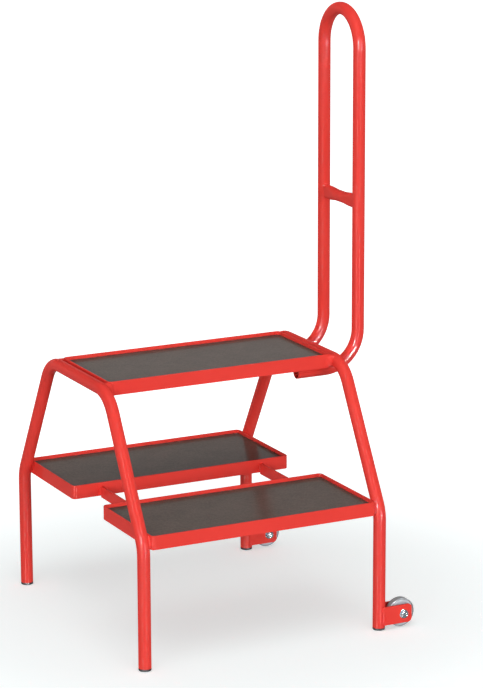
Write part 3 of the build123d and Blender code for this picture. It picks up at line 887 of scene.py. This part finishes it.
def make_washers(face):
    """Two washers with the rounded edge that punching leaves on one face."""
    surface = Surface()
    outer, inner, rim = WASHER_DIAMETER / 2, BOLT_DIAMETER / 2 + WASHER_CLEARANCE, WASHER_ROUND
    profile = [(inner, 0), (outer - WASHER_BURR, 0), (outer, WASHER_BURR)]
    profile += arc((outer - rim, WASHER_THICKNESS - rim), rim, 0, 90, 5)
    profile += [(inner + WASHER_BORE_EDGE, WASHER_THICKNESS), (inner, WASHER_THICKNESS - WASHER_BORE_EDGE)]
    low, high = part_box(f"axle_washers_{face}")
    for seat, axis in ((low[1] + WASHER_THICKNESS, -1), (high[1] - WASHER_THICKNESS, 1)):
        one = Surface()
        one.rings(turned_rings(profile, TURNED_SIDES), closed_along=True)
        first = len(surface.points)
        surface.points += stood(one.points, (AXLE[face].x, seat, AXLE[face].z), (0, axis, 0))
        surface.faces += [tuple(first + i for i in f) for f in one.faces]
    new_piece(
        f"axle_washers_detail_{face}", surface.points, surface.faces, "zinc_plate", "frame",
        (f"axle_washers_{face}",))


TYRE_SIDES = 128
TYRE_STEP_IN, TYRE_STEP, TYRE_STEP_RUN, TYRE_STEP_LOW = 2.1 * MM, 0.3 * MM, 0.3 * MM, 0.12 * MM
MOULD_LINE = ((0.0, 0.45 * MM), (0.12 * MM, 0.18 * MM))  # columns: out from the tread, from the middle


def make_tyre(face):
    """Grey tyre with a mould line round its tread and a step on each side."""
    low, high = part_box(f"wheel_tyre_{face}")
    outer = (high[2] - low[2]) / 2
    inner, half = outer - TYRE_DEPTH, TYRE_WIDTH / 2
    step_r = outer - TYRE_STEP_IN
    upper = [
        (inner, half - TYRE_STEP), (step_r - TYRE_STEP_RUN, half - TYRE_STEP),
        (step_r, half - TYRE_STEP_LOW), (step_r + TYRE_STEP_RUN, half),
    ]
    upper += arc((outer - TYRE_SHOULDER, half - TYRE_SHOULDER), TYRE_SHOULDER, 90, 0, 9)
    upper += [(outer + proud, z) for proud, z in MOULD_LINE]
    profile = upper + [(r, -z) for r, z in reversed(upper)]
    surface = Surface()
    surface.rings(turned_rings(profile, TYRE_SIDES), closed_along=True)
    points = stood(surface.points, AXLE[face], (0, 1, 0))
    new_piece(
        f"tyre_detail_{face}", points, surface.faces, "grey_tyre", f"wheel_{face}", (f"wheel_tyre_{face}",))


CAP_EDGE = 1.5 * MM
CAP_SEAM, CAP_SEAM_IN, CAP_UNDER_TUBE = 0.5 * MM, 0.3 * MM, 0.1 * MM
# Rings moulded in the underside, columns: radius, height
CAP_UNDERSIDE = (
    (0.6 * MM, 0.5 * MM), (3.2 * MM, 0.5 * MM), (3.5 * MM, 0.1 * MM), (5.0 * MM, 0.1 * MM),
    (5.3 * MM, 0.5 * MM), (7.0 * MM, 0.5 * MM), (7.3 * MM, 0.0),
)


def make_foot_cap(face, end):
    """Moulded cap with a rounded lower edge, a seam line at the tube and rings underneath."""
    name = f"foot_cap_{face}_{end}"
    low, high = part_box(name)
    seat = FOOT_CAP_HEIGHT - CAP_UNDER_TUBE
    profile = [*CAP_UNDERSIDE, (TUBE_R - CAP_EDGE, 0.0)]
    profile += arc((TUBE_R - CAP_EDGE, CAP_EDGE), CAP_EDGE, -90, 0, 7)
    profile += [
        (TUBE_R, FOOT_CAP_HEIGHT - CAP_SEAM), (TUBE_R - CAP_SEAM_IN, seat),
        (FOOT_STEM_R, seat), (FOOT_STEM_R, FOOT_STEM_TOP),
    ]
    surface = Surface()
    surface.rings(turned_rings(profile, TURNED_SIDES), start_cap=True, end_cap=True)
    centre = ((low[0] + high[0]) / 2, (low[1] + high[1]) / 2, 0)
    points = stood(surface.points, centre, (0, 0, 1))
    new_piece(f"{name}_detail", points, surface.faces, "black_plastic", "frame", (name,))


make_tread_welds()
make_tie_welds()
make_handrail_welds()
make_fork_welds()
make_mitre_seams()
for face, out in FACES:
    make_axle_bolt(face, out)
    make_axle_nut(face, out)
    make_washers(face)
    make_tyre(face)
    for end, _ in ENDS:
        make_foot_cap(face, end)


# Studio

def toward(azimuth, elevation):
    """Unit vector from the stand towards a place in the studio, angles in degrees."""
    a, e = math.radians(azimuth), math.radians(elevation)
    return Vector((math.sin(a) * math.cos(e), -math.cos(a) * math.cos(e), math.sin(e)))


def make_camera():
    """A long lens at the photograph's viewing angle."""
    back = toward(CAMERA_AZIMUTH, CAMERA_ELEVATION)
    right = Vector((math.cos(math.radians(CAMERA_AZIMUTH)), math.sin(math.radians(CAMERA_AZIMUTH)), 0))
    up = back.cross(right)
    roll = math.radians(CAMERA_ROLL)
    rolled_right = right * math.cos(roll) + up * math.sin(roll)
    rolled_up = back.cross(rolled_right)
    data = bpy.data.cameras.new("camera")
    data.lens = CAMERA_LENS
    data.sensor_width = SENSOR_SIZE
    data.clip_end = CAMERA_SEES_TO
    camera = bpy.data.objects.new("camera", data)
    bpy.context.scene.collection.objects.link(camera)
    turn = Matrix((rolled_right, rolled_up, back)).transposed().to_4x4()
    camera.matrix_world = Matrix.Translation(CAMERA_TARGET + back * CAMERA_DISTANCE) @ turn
    bpy.context.scene.camera = camera


STAND_MIDDLE = Vector((-0.02, 0.0, 0.45))
# Softboxes, columns: name, azimuth from the camera, elevation, distance, width, height, power
SOFTBOXES = (
    ("softbox_left", -24.0, 14.0, 7.0, 2.6, 2.0, 170.0),
    ("softbox_right", 41.0, 9.0, 7.0, 3.0, 2.0, 155.0),
    ("softbox_above", 0.0, 66.0, 5.0, 3.6, 3.6, 80.0),
)
STEEP = 45.0  # softboxes that stand lower than this don't light the floor


def area_lamp(name, width, height, power, place, way):
    """A rectangular lamp at a place, shining back along the way that leads out to it."""
    data = bpy.data.lights.new(name, "AREA")
    data.shape = "RECTANGLE"
    data.size, data.size_y = width, height
    data.energy = power
    lamp = bpy.data.objects.new(name, data)
    bpy.context.scene.collection.objects.link(lamp)
    lamp.location = place
    lamp.rotation_euler = way.to_track_quat("Z", "Y").to_euler()
    lamp.visible_camera = False
    return lamp


def all_but(floor):
    """A collection for light linking that leaves the floor out."""
    steps_only = bpy.data.collections.new("steps_only")
    steps_only.objects.link(floor)
    steps_only.collection_objects[0].light_linking.link_state = "EXCLUDE"
    return steps_only


def make_softboxes(steps_only):
    """Soft lights from both sides of the camera that leave the floor out, and one from above."""
    for name, azimuth, elevation, distance, width, height, power in SOFTBOXES:
        way = toward(CAMERA_AZIMUTH + azimuth, elevation)
        lamp = area_lamp(name, width, height, power, STAND_MIDDLE + way * distance, way)
        if elevation < STEEP:
            lamp.light_linking.receiver_collection = steps_only


# Far brighter than the softboxes. Columns: azimuth from the camera, distance, width, bottom, top, brightness
GLINT_LAMP = (-14.0, 2.5, 0.5, 0.9, 1.6, 330.0)


def make_glint_lamp(steps_only):
    """An upright lamp that only shiny surfaces pick up, for the left one of the two glints on each bend."""
    azimuth, distance, width, bottom, top, brightness = GLINT_LAMP
    way = toward(CAMERA_AZIMUTH + azimuth, 0)
    place = Vector((STAND_MIDDLE.x, STAND_MIDDLE.y, (bottom + top) / 2)) + way * distance
    height = top - bottom
    lamp = area_lamp("glint_left", width, height, brightness * math.pi * width * height, place, way)
    lamp.visible_diffuse = lamp.visible_transmission = False
    lamp.light_linking.receiver_collection = steps_only


def flat_panel(name, corners, material):
    mesh = bpy.data.meshes.new(name)
    mesh.from_pydata(corners, [], [(0, 1, 2, 3)])
    mesh.materials.append(material)
    panel = bpy.data.objects.new(name, mesh)
    bpy.context.scene.collection.objects.link(panel)
    return panel


# Upright panels for the shine on the coat. They reach below the floor, as their image in a polished floor does.
# The glint is far brighter than the softboxes.
# Columns: name, azimuth from the camera, distance, width, bottom, top, strength
SHINE_PANELS = (
    ("strip_left", -28.0, 3.2, 0.36, -2.4, 3.6, 27.0),
    ("strip_right", 30.0, 3.2, 0.36, -2.4, 3.6, 27.0),
    ("glint_right", 41.0, 20.0, 4.4, -1.7, 1.1, 480.0),
)


def make_shine_panels():
    """Panels that only shiny surfaces pick up: streaks along the upright tubes, and glints on the bends."""
    for name, azimuth, distance, width, bottom, top, strength in SHINE_PANELS:
        material = bpy.data.materials.new(name)
        material.use_nodes = True
        tree = material.node_tree
        glow = node(tree, "ShaderNodeEmission", None, Strength=strength)
        tree.links.new(glow.outputs[0], tree.nodes["Material Output"].inputs["Surface"])
        material.cycles.emission_sampling = "NONE"
        way = toward(CAMERA_AZIMUTH + azimuth, 0)
        across = Vector((-way.y, way.x, 0)) * (width / 2)
        foot = Vector((STAND_MIDDLE.x, STAND_MIDDLE.y, 0)) + way * distance
        low, high = Vector((0, 0, bottom)), Vector((0, 0, top))
        left, right = foot - across, foot + across
        panel = flat_panel(name, [left + low, right + low, right + high, left + high], material)
        panel.visible_camera = panel.visible_diffuse = False
        panel.visible_transmission = panel.visible_shadow = False


FLOOR_HALF = 120.0
FLOOR_COLOUR = (0.71, 0.8, 0.8, 1)  # a trace of blue-green, against the red that the coat throws on it
FLOOR_LIFT = 0.53  # added near the stand, so that the lit floor just comes to white
FLOOR_LIFT_FAR = 1.0
FLOOR_NEAR, FLOOR_FAR = 0.4, 1.35
FLOOR_MIRRORED = 0.65  # brightness of the floor in reflections


def make_floor():
    """A pale floor, white where nothing shades it. Reflected rays pass it and meet the panels below."""
    material = bpy.data.materials.new("floor")
    material.use_nodes = True
    tree = material.node_tree
    shader = tree.nodes["Principled BSDF"]
    shader.inputs["Base Color"].default_value = FLOOR_COLOUR
    shader.inputs["Roughness"].default_value = 1.0
    shader.inputs["Specular IOR Level"].default_value = 0.0
    distance = node(tree, "ShaderNodeVectorMath", {"operation": "LENGTH"}, Vector=surface_place(tree))
    lift = spread(tree, distance.outputs["Value"], FLOOR_NEAR, FLOOR_FAR, FLOOR_LIFT, FLOOR_LIFT_FAR)
    rays = node(tree, "ShaderNodeLightPath").outputs
    seen = sums(tree, "MAXIMUM", rays["Is Camera Ray"], rays["Is Transmission Ray"])
    glow = node(tree, "ShaderNodeEmission", None, Strength=sums(tree, "MULTIPLY", lift, seen)).outputs[0]
    seen_floor = node(tree, "ShaderNodeAddShader")
    tree.links.new(shader.outputs[0], seen_floor.inputs[0])
    tree.links.new(glow, seen_floor.inputs[1])
    mirrored = node(tree, "ShaderNodeAddShader")
    tree.links.new(node(tree, "ShaderNodeBsdfTransparent").outputs[0], mirrored.inputs[0])
    pale = node(tree, "ShaderNodeEmission", None, Strength=FLOOR_MIRRORED)
    tree.links.new(pale.outputs[0], mirrored.inputs[1])
    either = node(tree, "ShaderNodeMixShader", None, Fac=rays["Is Glossy Ray"])
    tree.links.new(seen_floor.outputs[0], either.inputs[1])
    tree.links.new(mirrored.outputs[0], either.inputs[2])
    tree.links.new(either.outputs[0], tree.nodes["Material Output"].inputs["Surface"])
    h = FLOOR_HALF
    return flat_panel("floor", [(-h, -h, 0), (h, -h, 0), (h, h, 0), (-h, h, 0)], material)


SKY_DARK_BELOW, SKY_WHITE_TO, SKY_GREY_FROM = -0.02, 0.2, 0.36  # sine of the elevation
SKY_GREY = 0.24


def make_world():
    """White at the horizon, fading to a soft grey overhead, and dark below the floor."""
    world = bpy.data.worlds.new("studio")
    bpy.context.scene.world = world
    world.use_nodes = True
    tree = world.node_tree
    way = node(tree, "ShaderNodeTexCoord").outputs["Generated"]
    rise = node(tree, "ShaderNodeSeparateXYZ", None, Vector=way).outputs["Z"]
    above = spread(tree, rise, SKY_WHITE_TO, SKY_GREY_FROM, 1.0, SKY_GREY)
    lit = sums(tree, "MULTIPLY", above, sums(tree, "GREATER_THAN", rise, SKY_DARK_BELOW))
    tree.links.new(lit, tree.nodes["Background"].inputs["Strength"])
    tree.nodes["Background"].inputs["Color"].default_value = (1, 1, 1, 1)


make_camera()
STEPS_ONLY = all_but(make_floor())
make_softboxes(STEPS_ONLY)
make_glint_lamp(STEPS_ONLY)
make_shine_panels()
make_world()
bpy.context.scene.view_settings.view_transform = "Standard"
